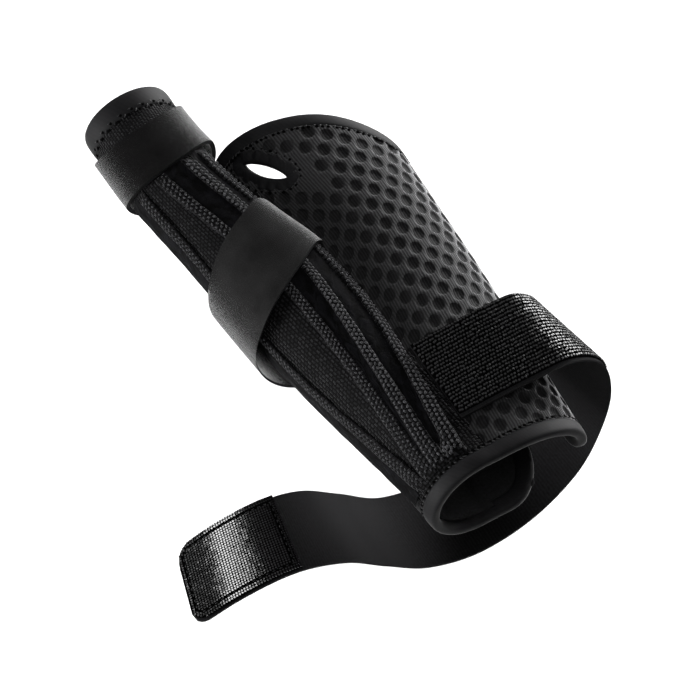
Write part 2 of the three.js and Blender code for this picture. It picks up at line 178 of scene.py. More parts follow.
def evenCut(bm, near, place):
    # the border's corners slide onto an even cut, unless a face would fold over
    bm.normal_update()
    facing = {face: face.normal.copy() for face in bm.faces}
    border = [v for v in bm.verts if v.is_boundary and near(v)]
    for vert in border:
        before = vert.co.copy()
        vert.co = place(vert)
        for face in vert.link_faces:
            face.normal_update()
        if any(f.normal.dot(facing[f]) < 0.85 or f.calc_area() < 0.3 for f in vert.link_faces):
            vert.co = before
            for face in vert.link_faces:
                face.normal_update()
    return set(border)


def outward(surface, angle, y, lift=0):
    around = surface(angle + 0.02, y, lift) - surface(angle - 0.02, y, lift)
    along = surface(angle, y + 0.5, lift) - surface(angle, y - 0.5, lift)
    return along.cross(around).normalized()


def fingerEdge(angle):
    y = fingerEdgeRows[0]["reach"]
    for _ in range(12):
        y = eased(fingerEdgeRows, "reach", onHand(angle, y).x) - palmDrop * (1 - math.sin(angle)) / 2
    return y


# Materials

def linear(colour):
    # sRGB hex to the linear values that the shader wants
    parts = [int(colour[i:i + 2], 16) / 255 for i in (1, 3, 5)]
    return (*(p / 12.92 if p <= 0.04045 else ((p + 0.055) / 1.055) ** 2.4 for p in parts), 1)


def addNode(tree, kind, inputs=None, **settings):
    # adds a node, gives it its settings and fills or links its sockets
    made = tree.nodes.new("ShaderNode" + kind)
    for key, value in settings.items():
        setattr(made, key, value)
    for key, value in (inputs or {}).items():
        if isinstance(value, bpy.types.NodeSocket):
            tree.links.new(value, made.inputs[key])
        else:
            made.inputs[key].default_value = value
    return made


def newMaterial(name):
    made = bpy.data.materials.new(name)
    made.use_nodes = True
    made.node_tree.nodes.clear()
    return made, made.node_tree


def flatCut(tree):
    # the piece's own flat pattern, in millimetres
    return addNode(tree, "UVMap", uv_map="pattern").outputs["UV"]


def spots(tree, size, detail):
    # soft uneven spots, by their size in millimetres, fixed to the object
    place = addNode(tree, "TexCoord").outputs["Object"]
    made = addNode(tree, "TexNoise", {"Vector": place, "Scale": 1 / (size * mm), "Detail": detail})
    return made.outputs["Fac"]


def ramp(tree, value, *stops):
    # a colour ramp between sRGB stops
    made = addNode(tree, "ValToRGB", {"Fac": value})
    while len(made.color_ramp.elements) < len(stops):
        made.color_ramp.elements.new(0.5)
    for element, (place, colour) in zip(made.color_ramp.elements, stops):
        element.position = place
        element.color = linear(colour)
    return made.outputs["Color"]


def close(tree, **inputs):
    words = {key.replace("_", " "): value for key, value in inputs.items()}
    shader = addNode(tree, "BsdfPrincipled", words)
    addNode(tree, "OutputMaterial", {"Surface": shader.outputs["BSDF"]})


def spacerMesh(name, dark, pale, sheen):
    # warp-knit polyester spacer mesh: fine threads along the arm; the raised net has a soft sheen
    made, tree = newMaterial(name)
    uv = flatCut(tree)
    lines = addNode(tree, "TexWave", {
        "Vector": uv,
        "Scale": 0.314 / 0.9,  # a thread every 0.9 mm
        "Distortion": 1.6,
        "Detail": 2.0,
        "Detail Scale": 1.5,
    }, wave_type="BANDS", bands_direction="X")
    speck = addNode(tree, "TexNoise", {"Vector": uv, "Scale": 0.9, "Detail": 3.0})
    mixed = addNode(tree, "Mix", {"Factor": 0.45, "A": lines.outputs["Fac"], "B": speck.outputs["Fac"]})
    knit = ramp(tree, mixed.outputs["Result"], (0.25, dark), (0.75, pale))
    bump = addNode(tree, "Bump", {"Height": mixed.outputs["Result"], "Strength": 0.5, "Distance": 0.25 * mm})
    close(tree, Base_Color=knit, Roughness=0.75, Specular_IOR_Level=0.08, Normal=bump.outputs["Normal"],
          Sheen_Weight=sheen, Sheen_Roughness=0.29, Sheen_Tint=linear("#f4f4f6"))
    return made


def airMesh():
    # fine warp-knit air mesh: columns of chain loops, pale on top, with dark gaps between the loops
    made, tree = newMaterial("chain_knit_air_mesh")
    uv = flatCut(tree)
    stray = addNode(tree, "TexNoise", {"Vector": uv, "Scale": 0.7, "Detail": 2.0})
    shift = addNode(tree, "VectorMath", {0: stray.outputs["Color"], 1: (0.6, 0.6, 0)}, operation="MULTIPLY")
    place = addNode(tree, "VectorMath", {0: uv, 1: shift.outputs["Vector"]}, operation="ADD")
    turned = addNode(tree, "Mapping", {"Vector": place.outputs["Vector"], "Rotation": (0, 0, math.pi / 2)})
    loops = addNode(tree, "TexBrick", {
        "Vector": turned.outputs["Vector"],
        "Scale": 1.0,
        "Brick Width": 1.7,  # a loop's length along the column, in mm; drawn a little coarse so that it shows
        "Row Height": 1.1,
        "Mortar Size": 0.34,
        "Mortar Smooth": 0.6,
        "Color1": (1, 1, 1, 1),
        "Color2": (0.6, 0.6, 0.6, 1),
        "Mortar": (0, 0, 0, 1),
    })
    worn = addNode(tree, "Mix", {
        "Factor": 0.15,
        "A": loops.outputs["Color"],
        "B": stray.outputs["Color"],
    }, data_type="RGBA")
    knit = ramp(tree, worn.outputs[2], (0.2, "#000000"), (0.55, "#050506"), (0.95, "#161617"))
    bump = addNode(tree, "Bump", {"Height": worn.outputs[2], "Strength": 0.8, "Distance": 0.35 * mm})
    close(tree, Base_Color=knit, Roughness=0.8, Specular_IOR_Level=0.04, Normal=bump.outputs["Normal"],
          Sheen_Weight=0.1, Sheen_Roughness=0.22, Sheen_Tint=linear("#f4f4f6"))
    return made


def velour(name, dark, pale):
    # brushed nylon loop fabric: a short nap, very dark face on and pale along the flanks
    made, tree = newMaterial(name)
    uv = flatCut(tree)
    nap = addNode(tree, "TexNoise", {"Vector": uv, "Scale": 3.6, "Detail": 2.0, "Roughness": 0.7})
    cloud = addNode(tree, "TexNoise", {"Vector": uv, "Scale": 0.12, "Detail": 2.0})
    mixed = addNode(tree, "Mix", {"Factor": 0.4, "A": nap.outputs["Fac"], "B": cloud.outputs["Fac"]})
    pile = ramp(tree, mixed.outputs["Result"], (0.35, dark), (0.65, pale))
    bump = addNode(tree, "Bump", {"Height": nap.outputs["Fac"], "Strength": 0.75, "Distance": 0.3 * mm})
    close(tree, Base_Color=pile, Roughness=0.95, Specular_IOR_Level=0.02, Normal=bump.outputs["Normal"],
          Sheen_Weight=1.0, Sheen_Roughness=0.238, Sheen_Tint=linear("#ffffff"))
    return made


def wovenBack():
    # the strap's smooth side: fine ribs across the tape
    made, tree = newMaterial("ribbed_strap_face")
    uv = flatCut(tree)
    ribs = addNode(tree, "TexWave", {
        "Vector": uv,
        "Scale": 0.314 / 1.0,  # a rib every millimetre
        "Distortion": 0.4,
        "Detail": 1.0,
    }, wave_type="BANDS", bands_direction="Y")
    nap = addNode(tree, "TexNoise", {"Vector": uv, "Scale": 1.2, "Detail": 4.0})
    mixed = addNode(tree, "Mix", {"Factor": 0.8, "A": ribs.outputs["Fac"], "B": nap.outputs["Fac"]})
    face = ramp(tree, mixed.outputs["Result"], (0.25, "#0b0b0b"), (0.75, "#171718"))
    bump = addNode(tree, "Bump", {"Height": mixed.outputs["Result"], "Strength": 0.3, "Distance": 0.15 * mm})
    close(tree, Base_Color=face, Roughness=0.9, Specular_IOR_Level=0.02, Normal=bump.outputs["Normal"])
    return made


def stretchBinding():
    # folded elastane binding: close satin knit, smooth with a soft pale rim
    made, tree = newMaterial("elastane_binding")
    uv = flatCut(tree)
    knit = addNode(tree, "TexWave", {
        "Vector": uv,
        "Scale": 0.314 / 0.7,  # finer than this doesn't show
        "Distortion": 1.2,
        "Detail": 1.0,
    }, wave_type="BANDS", bands_direction="DIAGONAL")
    cloud = addNode(tree, "TexNoise", {"Vector": uv, "Scale": 0.2, "Detail": 3.0})
    mixed = addNode(tree, "Mix", {"Factor": 0.85, "A": knit.outputs["Fac"], "B": cloud.outputs["Fac"]})
    face = ramp(tree, mixed.outputs["Result"], (0.3, "#040405"), (0.7, "#0b0b0c"))
    bump = addNode(tree, "Bump", {"Height": mixed.outputs["Result"], "Strength": 0.18, "Distance": 0.2 * mm})
    close(tree, Base_Color=face, Roughness=0.65, Specular_IOR_Level=0.07, Normal=bump.outputs["Normal"],
          Sheen_Weight=0.1, Sheen_Roughness=0.2, Sheen_Tint=linear("#ffffff"))
    return made


def channelTape():
    # smooth tricot tape in the channels: dark, with faint creases across
    made, tree = newMaterial("tricot_channel_tape")
    uv = flatCut(tree)
    creases = addNode(tree, "TexNoise", {"Vector": uv, "Scale": 0.22, "Detail": 3.0, "Distortion": 0.8})
    face = ramp(tree, creases.outputs["Fac"], (0.35, "#010101"), (0.7, "#08080a"))
    bump = addNode(tree, "Bump", {"Height": creases.outputs["Fac"], "Strength": 0.6, "Distance": 1.2 * mm})
    close(tree, Base_Color=face, Roughness=0.85, Specular_IOR_Level=0.03, Normal=bump.outputs["Normal"],
          Sheen_Weight=0.02, Sheen_Roughness=0.22, Sheen_Tint=linear("#ffffff"))
    return made


def mouldedHook(name, smooth, rough, shine):
    # extruded nylon hook tape: small glossy heads over a dull base
    made, tree = newMaterial(name)
    scuff = spots(tree, 2, 3.0)
    face = ramp(tree, scuff, (0.3, "#0d0d0d"), (0.7, "#171718"))
    gloss = addNode(tree, "MapRange", {"Value": scuff, "To Min": smooth, "To Max": rough})
    close(tree, Base_Color=face, Roughness=gloss.outputs["Result"], IOR=1.53, Specular_IOR_Level=shine)
    return made


def thread():
    # twisted polyester sewing thread
    made, tree = newMaterial("polyester_thread")
    twist = spots(tree, 0.6, 2.0)
    face = ramp(tree, twist, (0.3, "#0c0c0d"), (0.7, "#1e1e1f"))
    close(tree, Base_Color=face, Roughness=0.55, Specular_IOR_Level=0.15)
    return made


def yarn():
    # textured polyester yarn of the raised loops: soft, and painted a little paler than the cloth under it, a
    # painted highlight for the light that the raised loops catch
    made, tree = newMaterial("textured_yarn_painted_highlight")
    twist = spots(tree, 1.2, 3.0)
    face = ramp(tree, twist, (0.3, "#151516"), (0.7, "#323234"))
    close(tree, Base_Color=face, Roughness=0.7, Specular_IOR_Level=0.1,
          Sheen_Weight=0.3, Sheen_Roughness=0.25, Sheen_Tint=linear("#f4f4f6"))
    return made


def cutEdge():
    # heat-cut edge of a strap: the plain ends of the threads, dull and dark
    made, tree = newMaterial("strap_cut_edge")
    ends = spots(tree, 0.8, 2.0)
    face = ramp(tree, ends, (0.3, "#0c0c0c"), (0.7, "#19191a"))
    close(tree, Base_Color=face, Roughness=0.85, Specular_IOR_Level=0.05)
    return made


def hookGround():
    # the tape between the hooks: always in their shade
    made, tree = newMaterial("hook_ground")
    weave = spots(tree, 1, 2.0)
    face = ramp(tree, weave, (0.3, "#010101"), (0.7, "#040404"))
    close(tree, Base_Color=face, Roughness=0.95, Specular_IOR_Level=0.0)
    return made


def tricotLining():
    # brushed tricot on the inner sides: flat and dark
    made, tree = newMaterial("tricot_lining")
    nap = spots(tree, 0.8, 3.0)
    face = ramp(tree, nap, (0.3, "#0f0f0f"), (0.7, "#171718"))
    close(tree, Base_Color=face, Roughness=0.9, Specular_IOR_Level=0.02)
    return made


def needleHole():
    # stitch holes pulled into the cloth: shaded pits
    made, tree = newMaterial("needle_hole")
    fuzz = spots(tree, 0.5, 2.0)
    face = ramp(tree, fuzz, (0.3, "#010101"), (0.7, "#050505"))
    close(tree, Base_Color=face, Roughness=0.95, Specular_IOR_Level=0.0)
    return made


finishes = {
    "net": spacerMesh("spacer_mesh_net", "#0a0a0a", "#1d1d1e", 0.95),
    # painted shade: a darker copy of the net for the dimples, standing in for the shade in their hollows
    "dimple": spacerMesh("spacer_mesh_dimple_painted_shade", "#030303", "#0e0e0f", 0.18),
    "air": airMesh(),
    "velour": velour("brushed_loop_velour", "#020202", "#090909"),
    # painted light: a paler copy of the same velour for the base band, standing in for the light on its upper
    # face
    "velourPaintedLighter": velour("brushed_loop_velour_painted_lighter", "#0a0a0a", "#1b1b1b"),
    "ribbed": wovenBack(),
    "binding": stretchBinding(),
    "tape": channelTape(),
    "hook": mouldedHook("nylon_hook", 0.14, 0.24, 1.0),
    "wornHook": mouldedHook("nylon_hook_worn", 0.36, 0.48, 0.15),
    "hookGround": hookGround(),
    "thread": thread(),
    "yarn": yarn(),
    "edge": cutEdge(),
    "hole": needleHole(),
    "lining": tricotLining(),
}
print("materials:", len(finishes))


# Modelling helpers

def wrappedGrid(across, along, place, size, closed=False):
    # a flat grid laid onto a surface by place(u, v); its UVs keep the flat cut in millimetres
    bm = bmesh.new()
    uvs = bm.loops.layers.uv.new("pattern")
    bmesh.ops.create_grid(bm, x_segments=across, y_segments=along, size=0.5, calc_uvs=True)
    for face in bm.faces:
        for loop in face.loops:
            loop[uvs].uv = (loop[uvs].uv[0] * size[0], loop[uvs].uv[1] * size[1])
    for vert in bm.verts:
        vert.co = place(vert.co.x + 0.5, vert.co.y + 0.5)
    if closed:
        bmesh.ops.remove_doubles(bm, verts=bm.verts, dist=1e-4)
    return bm


def finished(bm, name, nodes, materials, thickness=0, levels=0, lined=False):
    # mesh to object at the origin, in metres, riding on the frame in place of its CAD nodes
    if thickness:
        sheet = set(bm.faces)
        made = bmesh.ops.solidify(bm, geom=bm.faces[:], thickness=thickness)
        inner = {item for item in made["geom"] if isinstance(item, bmesh.types.BMFace)}
        for face in bm.faces:
            if face not in sheet and (lined or face not in inner):
                face.material_index = len(materials) - 1
    bmesh.ops.scale(bm, vec=(mm, mm, mm), verts=bm.verts)
    mesh = bpy.data.meshes.new(name)
    bm.to_mesh(mesh)
    bm.free()
    mesh.shade_smooth()
    mesh.set_sharp_from_angle(angle=math.radians(50))
    for finish in materials:
        mesh.materials.append(finishes[finish])
    piece = bpy.data.objects.new(name, mesh)
    bpy.context.collection.objects.link(piece)
    if levels:
        soften = piece.modifiers.new("soften", "SUBSURF")
        soften.levels = levels
        soften.render_levels = levels
    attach(piece, "root")
    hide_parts(*nodes)
    print("piece:", name, len(mesh.polygons), "faces")
    return piece


def beads(bm, places, radii, index):
    # one small rounded bead at each (middle, along, across, out)
    for middle, along, across, out in places:
        turn = Matrix((along * radii[0], across * radii[1], out * radii[2])).transposed()
        where = Matrix.Translation(middle) @ turn.to_4x4()
        made = bmesh.ops.create_icosphere(bm, subdivisions=1, radius=1, matrix=where)
        for face in {f for v in made["verts"] for f in v.link_faces}:
            face.material_index = index


def blocks(bm, places, size, index):
    # one small flat-topped block at each (middle, along, across, out)
    for middle, along, across, out in places:
        turn = Matrix((along * size[0], across * size[1], out * size[2])).transposed()
        made = bmesh.ops.create_cube(bm, size=1, matrix=Matrix.Translation(middle) @ turn.to_4x4())
        for face in {f for v in made["verts"] for f in v.link_faces}:
            face.material_index = index


def grains(bm, places, size, index):
    # one small flat-topped grain with sloping sides at each (middle, along, across, out)
    for middle, along, across, out in places:
        turn = Matrix((along * size[0], across * size[1], out * size[2])).transposed()
        where = Matrix.Translation(middle) @ turn.to_4x4()
        made = bmesh.ops.create_cone(bm, cap_ends=True, segments=8, radius1=0.56, radius2=0.4, depth=1,
                                     matrix=where)
        for face in {f for v in made["verts"] for f in v.link_faces}:
            face.material_index = index


# Hand panel: a flat net of dimples, trimmed to the cut and wrapped round the hand tube

handNet = {
    "stepUp": (3.68, 4.77),  # from a dimple to its neighbours, round and along
    "stepDown": (3.94, -3.87),
    "start": (11.72, 122.25),  # one dimple's place
    "wrapRadius": 25.0,
    "cells": 66,
    "corner": 1.6,  # the net's knots
    "ridge": 0.55,
    "slope": 0.65,
    "depth": 0.9,
    "thickness": 2.6,
    "plainRound": 2.0,  # no dimples this near the web hole, in shares of its size
}


def netPlace(s, y, lift=0):
    return onHand(math.pi / 2 - s / handNet["wrapRadius"], y, lift)


def notchSides(y):
    # bearings of the notch's two edges, lower and upper, in degrees
    t = (y - wristCorners[1]["y"]) / (wristCorners[0]["y"] - wristCorners[1]["y"])
    upper = wristCorners[1]["bearing"] + t * (wristCorners[0]["bearing"] - wristCorners[1]["bearing"])
    lower = wristCorners[2]["bearing"] + t * (wristCorners[3]["bearing"] - wristCorners[2]["bearing"])
    return lower - 360, upper


def inNotch(point):
    if point.y > wristCorners[0]["y"]:
        return False
    lower, upper = notchSides(point.y)
    return lower < math.degrees(math.atan2(point.z, point.x)) < upper


def webShare(angle, y):
    # below 1 inside the web hole, and the way out of it
    lean = math.radians(webHole["slant"])
    girth = (angle - math.radians(webHole["angle"])) * patternRadius
    along = y - webHole["y"]
    long = girth * math.cos(lean) + along * math.sin(lean)
    short = -girth * math.sin(lean) + along * math.cos(lean)
    return math.hypot(long / webHole["halfLength"], short / webHole["halfWidth"])


def openDimple(spot):
    return webShare(math.pi / 2 - spot.x / handNet["wrapRadius"], spot.y) > handNet["plainRound"]


def handCloth():
    net = handNet
    bm = bmesh.new()
    bmesh.ops.create_grid(bm, x_segments=net["cells"], y_segments=net["cells"], size=net["cells"] / 2)
    turn = Matrix.Identity(4)
    turn[0][0], turn[1][0] = net["stepDown"]
    turn[0][1], turn[1][1] = net["stepUp"]
    middle = [a / 2 + b / 2 for a, b in zip(net["stepUp"], net["stepDown"])]
    turn[0][3] = net["start"][0] + middle[0]
    turn[1][3] = net["start"][1] + middle[1]
    bmesh.ops.transform(bm, matrix=turn, verts=bm.verts)
    bmesh.ops.bevel(bm, geom=bm.verts[:], affect="VERTICES", offset=net["corner"], offset_type="OFFSET",
                    segments=1, profile=0.5, material=-1)
    half = net["wrapRadius"] * math.radians(168)
    stray = []
    for face in bm.faces:
        s, y, _ = face.calc_center_median()
        angle = math.pi / 2 - s / net["wrapRadius"]
        ahead = s - net["wrapRadius"] * math.pi / 2
        if abs(ahead) > half or not 0.5 < y < fingerEdge(angle):
            stray.append(face)
            continue
        point = netPlace(s, y)
        if inNotch(point) or within(thumbSections, point, -6) < 1 or webShare(angle, y) < 1:
            stray.append(face)
    bmesh.ops.delete(bm, geom=stray, context="FACES")

    def inThumb(s, y):
        return within(thumbSections, netPlace(s, y), -6)

    def atThumb(vert):
        s, y, z = vert.co
        return Vector((slidTo(s, lambda at: inThumb(at, y), 4), y, z))

    clipped = evenCut(bm, lambda vert: abs(inThumb(vert.co.x, vert.co.y) - 1) < 0.5, atThumb)
    for vert in bm.verts:
        s, y, _ = vert.co
        angle = math.pi / 2 - s / net["wrapRadius"]
        edge = fingerEdge(angle)
        if y > edge or y < wristCorners[1]["y"]:
            vert.co.y = min(max(y, wristCorners[1]["y"]), edge)
            clipped.add(vert)
        point = netPlace(s, vert.co.y)
        if inNotch(point):
            bearing = math.degrees(math.atan2(point.z, point.x))
            nearest = min(notchSides(vert.co.y), key=lambda side: abs(side - bearing))
            turned = handAngle(onSleeve(math.radians(nearest), vert.co.y))
            vert.co.x = (math.pi / 2 - turned) * net["wrapRadius"]
            clipped.add(vert)
        share = webShare(angle, y)
        if share < 1:
            hubPlace = (math.pi / 2 - math.radians(webHole["angle"])) * net["wrapRadius"]
            hub = Vector((hubPlace, webHole["y"], 0))
            vert.co = hub + (vert.co - hub) / max(share, 0.2)
            clipped.add(vert)
    cut = {face for vert in clipped for face in vert.link_faces}
    whole = [face for face in bm.faces if len(face.verts) == 8 and face not in cut]
    dimples = [face for face in whole if openDimple(face.calc_center_median())]
    outer = set(bm.faces)
    bmesh.ops.solidify(bm, geom=bm.faces[:], thickness=net["thickness"])
    for face in bm.faces:
        face.material_index = 0 if face in outer else 2
    top = dimples[0].verts[0].co.z
    bmesh.ops.translate(bm, vec=(0, 0, -top), verts=bm.verts)
    bmesh.ops.inset_individual(bm, faces=dimples, thickness=net["ridge"], use_even_offset=True)
    # the dimples take the darker copy: painted shade in the hollows
    for face in dimples:
        face.material_index = 1
    bmesh.ops.inset_individual(bm, faces=dimples, thickness=net["slope"], depth=-net["depth"],
                               use_even_offset=True)
    uvs = bm.loops.layers.uv.new("pattern")
    for face in bm.faces:
        for loop in face.loops:
            loop[uvs].uv = loop.vert.co.xy
    for vert in bm.verts:
        vert.co = netPlace(*vert.co)
    bmesh.ops.dissolve_degenerate(bm, edges=bm.edges, dist=0.02)
    return finished(bm, "hand_panel_cloth", ["hand_panel"], ["net", "dimple", "lining"],
                    levels=1)


handPanel = handCloth()


# Thumb panel: one wrapped sheet, open where it meets the hand tube

thumbCloth = {"around": 120, "along": 130, "pucker": 0.35, "puckerLength": 9.0}


def thumbPanelPlace(u, v):
    y = wristCorners[1]["y"] + v * (thumbTip - wristCorners[1]["y"])
    angle = -2 * math.pi * u
    soft = noise.noise(onThumb(angle, y) / thumbCloth["puckerLength"])
    return onThumb(angle, y, thumbCloth["pucker"] * (soft - 0.6))


def thumbPanelCloth():
    bm = wrappedGrid(thumbCloth["around"], thumbCloth["along"], thumbPanelPlace, (105, thumbTip), closed=True)
    inside = []
    for face in bm.faces:
        middle = face.calc_center_median()
        if within(handSections, middle, -1.6) < 1 and middle.y < fingerEdge(handAngle(middle)):
            inside.append(face)
    bmesh.ops.delete(bm, geom=inside, context="FACES")

    def atHand(vert):
        y = vert.co.y
        z = (vert.co.z - eased(thumbSections, "z", y)) / eased(thumbSections, "halfHeight", y)
        x = (vert.co.x - eased(thumbSections, "x", y)) / eased(thumbSections, "halfWidth", y)
        cut = slidTo(math.atan2(z, x), lambda at: within(handSections, onThumb(at, y), -1.6), 0.12)
        return onThumb(cut, y, -0.6 * thumbCloth["pucker"])

    evenCut(bm, lambda v: 6 < v.co.y < 160 and abs(within(handSections, v.co, -1.6) - 1) < 0.5, atHand)
    return finished(bm, "thumb_panel_cloth", ["thumb_panel"], ["air", "lining"],
                    thickness=wall - 0.6, lined=True)


thumbPanel = thumbPanelCloth()


# Ribs over the stays, and the tapes in the channels between them

ribRows = table(
    "at rib1 rib2 rib3 rib4",
    (8, 101, 122, 137, 154),
    (20, 94, 117, 133.5, 159),
    (35, 84, 109, 127, 165),
    (50, 74, 101, 120, 170),
    (70, 62, 90, 112.5, 171),
    (97, 52, 78, 106, 164),
    (120, 52, 75, 110, 157),
    (150, 54, 80, 119, 152),
)
ribWidths = table("at width", (6, 5.6), (25, 5), (45, 4), (70, 3.4), (97, 3.2), (150, 4.2))
ribShape = {"from": 6, "barTo": 13, "height": 1.5, "across": 12, "along": 110, "columns": 3, "loop": 1.75}
ribBold = {"rib1": 1.0, "rib2": 1.0, "rib3": 0.75, "rib4": 0.6}  # share of the full height
tapeShape = {"thickness": 0.7, "lastWidth": 34, "across": 14, "along": 110}


tipBand = {
    "from": 150, "to": 170, "lift": 0.4, "thickness": 1.6, "around": 120, "across": 14,
    "flare": 1.4, "flareAt": 25,  # it stands off a little on the finger side
    "dipAt": 108, "dipLow": 5.1, "dipHigh": 7.4,  # and sits nearer the wrist on top
}


def tipStrapEdges(angle):
    loose = max(math.cos(angle - math.radians(tipBand["flareAt"])), 0) ** 3
    dip = max(math.cos(angle - math.radians(tipBand["dipAt"])), 0)
    low = tipBand["from"] + 2.2 * loose - tipBand["dipLow"] * dip
    return low, tipBand["to"] - tipBand["dipHigh"] * dip, tipBand["flare"] * loose


def ribEnd(key):
    return tipStrapEdges(math.radians(eased(ribRows, key, 146)))[0] - seat


def onRib(key, side, y):
    # side runs from -1 to 1 across the rib's rounded top
    angle = math.radians(eased(ribRows, key, y))
    radius = eased(thumbSections, "halfHeight", y)
    half = eased(ribWidths, "width", y) / 2
    if key == "rib1" and side > 0:
        # near the cuff the first rib's cover turns the corner to the second
        bar = radius * (math.radians(eased(ribRows, "rib2", y)) - angle) - half - 0.1
        half += (bar - half) * min(max((ribShape["barTo"] - y) / 1.2, 0), 1)
    end = min(1, (y - ribShape["from"]) / 3, (ribEnd(key) - y) / 3)
    lift = seat + ribShape["height"] * ribBold[key] * max(1 - side ** 4, 0) ** 0.5 * max(end, 0)
    ripple = 0.25 * noise.noise(Vector((side, y / 5, angle)))
    return onThumb(angle + (side * half + ripple) / radius, y, lift)


def ribLoops(key):
    # the knitted cover's chain loops, leaning in turn to each side
    found = []
    columns = ribShape["columns"]
    rows = [((column + 0.5) / columns * 1.7 - 0.85, ribEnd(key)) for column in range(columns)]
    if key == "rib1":
        rows += [(side, ribShape["barTo"] + 1) for side in (0.28, 0.42, 0.72, 0.86)]
    for column, (side, to) in enumerate(rows):
        for k in range(int((to - ribShape["from"] - 3) / ribShape["loop"])):
            y = ribShape["from"] + 1.5 + (k + 0.5 * (column % 2)) * ribShape["loop"]
            along = (onRib(key, side, y + 0.6) - onRib(key, side, y - 0.6)).normalized()
            across = (onRib(key, side + 0.1, y) - onRib(key, side - 0.1, y)).normalized()
            lean = (along + across * (0.35 if k % 2 else -0.35)).normalized()
            out = across.cross(along).normalized()
            if out.dot(onRib(key, side, y) - onThumb(0, y, -eased(thumbSections, "halfWidth", y))) < 0:
                out = -out
            found.append((onRib(key, side, y) + out * 0.05, lean, lean.cross(out).normalized(), out))
    return found


def ribCloth(key):
    def place(u, v):
        return onRib(key, 1 - 2 * u, ribShape["from"] + v * (ribEnd(key) - ribShape["from"]))

    bm = wrappedGrid(ribShape["across"], ribShape["along"], place, (4, 144))
    bmesh.ops.solidify(bm, geom=bm.faces[:], thickness=0.6)
    # the loops take the yarn finish with its painted highlight
    beads(bm, ribLoops(key), [ribBold[key] * size for size in (0.82, 0.44, 0.4)], 1)
    return finished(bm, f"stay_{key}_cover", [f"stay_{key}"], ["air", "yarn"])


def tapeCloth(name, fromKey, toKey, start, past=0):
    def place(u, v):
        y = start + v * (ribEnd(toKey) + (ribEnd(fromKey) - ribEnd(toKey)) * u - start)
        clear = eased(ribWidths, "width", y) / 2 - 0.2
        radius = eased(thumbSections, "halfHeight", y)
        first = math.radians(eased(ribRows, fromKey, y)) + clear / radius
        last = math.radians(eased(ribRows, toKey, y) + past) - clear / radius
        soft = 0.25 * noise.noise(Vector((u * 2, y / 7, 3)))
        return onThumb(last + (first - last) * u, y, seat + tapeShape["thickness"] * 0.8 + soft)

    bm = wrappedGrid(tapeShape["across"], tapeShape["along"], place, (8, 144))
    return finished(bm, f"{name}_cover", [name], ["tape"], thickness=0.5)


ribs = [ribCloth(key) for key in ("rib1", "rib2", "rib3", "rib4")]
tapes = [
    tapeCloth("stay_tape1", "rib1", "rib2", ribShape["barTo"]),
    tapeCloth("stay_tape2", "rib2", "rib3", ribShape["from"]),
    tapeCloth("stay_tape3", "rib4", "rib4", ribShape["from"], tapeShape["lastWidth"]),
]


# Brushed bands round the thumb

baseBandRows = table(
    "at wristEdge handEdge wristLift handLift",
    (18, 104.5, 108, -2.2, -2.2),
    (36, 99.5, 117, 0.6, 0.6),
    (58, 96.5, 120, 2.4, 2.4),
    (85, 90.5, 116, 2.5, 2.4),
    (115, 85, 111.5, 2.6, 2.4),
    (150, 80.5, 106.5, 3, 2.4),
    (185, 78.5, 103, 3.6, 2.4),
    (235, 75, 100, 3, 1.6),
    (300, 73, 98, 0.6, 0.6),
)
baseBand = {"thickness": 1.6, "around": 120, "across": 16, "corner": 6}


def tipBandCloth():
    def place(u, v):
        angle = -2 * math.pi * u
        low, high, flare = tipStrapEdges(angle)
        lift = tipBand["lift"] + flare * (1 - v) ** 1.5
        return onThumb(angle, low + v * (high - low), lift + tipBand["thickness"])

    bm = wrappedGrid(tipBand["around"], tipBand["across"], place, (100, 20), closed=True)
    return finished(bm, "thumb_tip_strap_cloth", ["thumb_tip_strap"], ["velour", "edge"],
                    thickness=tipBand["thickness"])


def baseBandCloth():
    first, last = baseBandRows[0]["at"], baseBandRows[-1]["at"]

    def place(u, v):
        bearing = last + (first - last) * u
        short = max(1 - math.radians(bearing - first) * 17 / baseBand["corner"], 0)
        inset = baseBand["corner"] * (1 - math.sqrt(1 - short * short))
        edge = eased(baseBandRows, "wristEdge", bearing) + inset
        y = edge + v * (eased(baseBandRows, "handEdge", bearing) - inset - edge)
        low = eased(baseBandRows, "wristLift", bearing)
        lift = low + v * (eased(baseBandRows, "handLift", bearing) - low)
        return onThumb(math.radians(bearing), y, lift + baseBand["thickness"])

    bm = wrappedGrid(baseBand["around"], baseBand["across"], place, (85, 24))
    # the base band takes the paler velour, its painted light
    return finished(bm, "thumb_base_strap_cloth", ["thumb_base_strap"], ["velourPaintedLighter", "edge"],
                    thickness=baseBand["thickness"])


tipStrap = tipBandCloth()
baseStrap = baseBandCloth()


# Wrist strap: its edge nearest the forearm, and how far the other edge leans from square

strapRows = table(
    "x y z leanX leanZ",
    (-7.5, 16, 21, 0, 0),
    (6, 16, 21.6, 0, 0.4),
    (20, 16, 21.8, -0.6, 0.6),
    (33, 16, 20.6, -3.4, 0.8),
    (43.5, 16, 11.6, -6.6, 1),
    (47.6, 15.5, -7, -7, 1),
    (44.2, 15, -26, -5, 2),
    (36, 15, -45, -3, 2),
    (20, 15.5, -60, 0, 1),
    (1, 16, -65, 1, 0),
    (-18, 16, -58, 1, -2),
    (-34, 16, -43.5, 1, -1),
    (-49, 16, -28.8, 2, -2.2),
    (-67, 16, -19.6, 7, -4.2),
    (-86, 16, -18.5, 9, -3.8),
    (-103.5, 16, -22, 9.5, -4.8),
)
strapShape = {"width": 31, "thickness": 1.0, "corner": 6, "length": 281, "along": 220, "across": 16}
hookPatch = {"from": 0.001, "to": 0.3, "margins": (1.3, 0.3), "along": 1.45, "across": 1.33, "seams": []}
hookTab = {"from": 0.86, "to": 0.999, "margins": (0.1, 0.1), "along": 0.97, "across": 0.94, "seams": [2.1]}


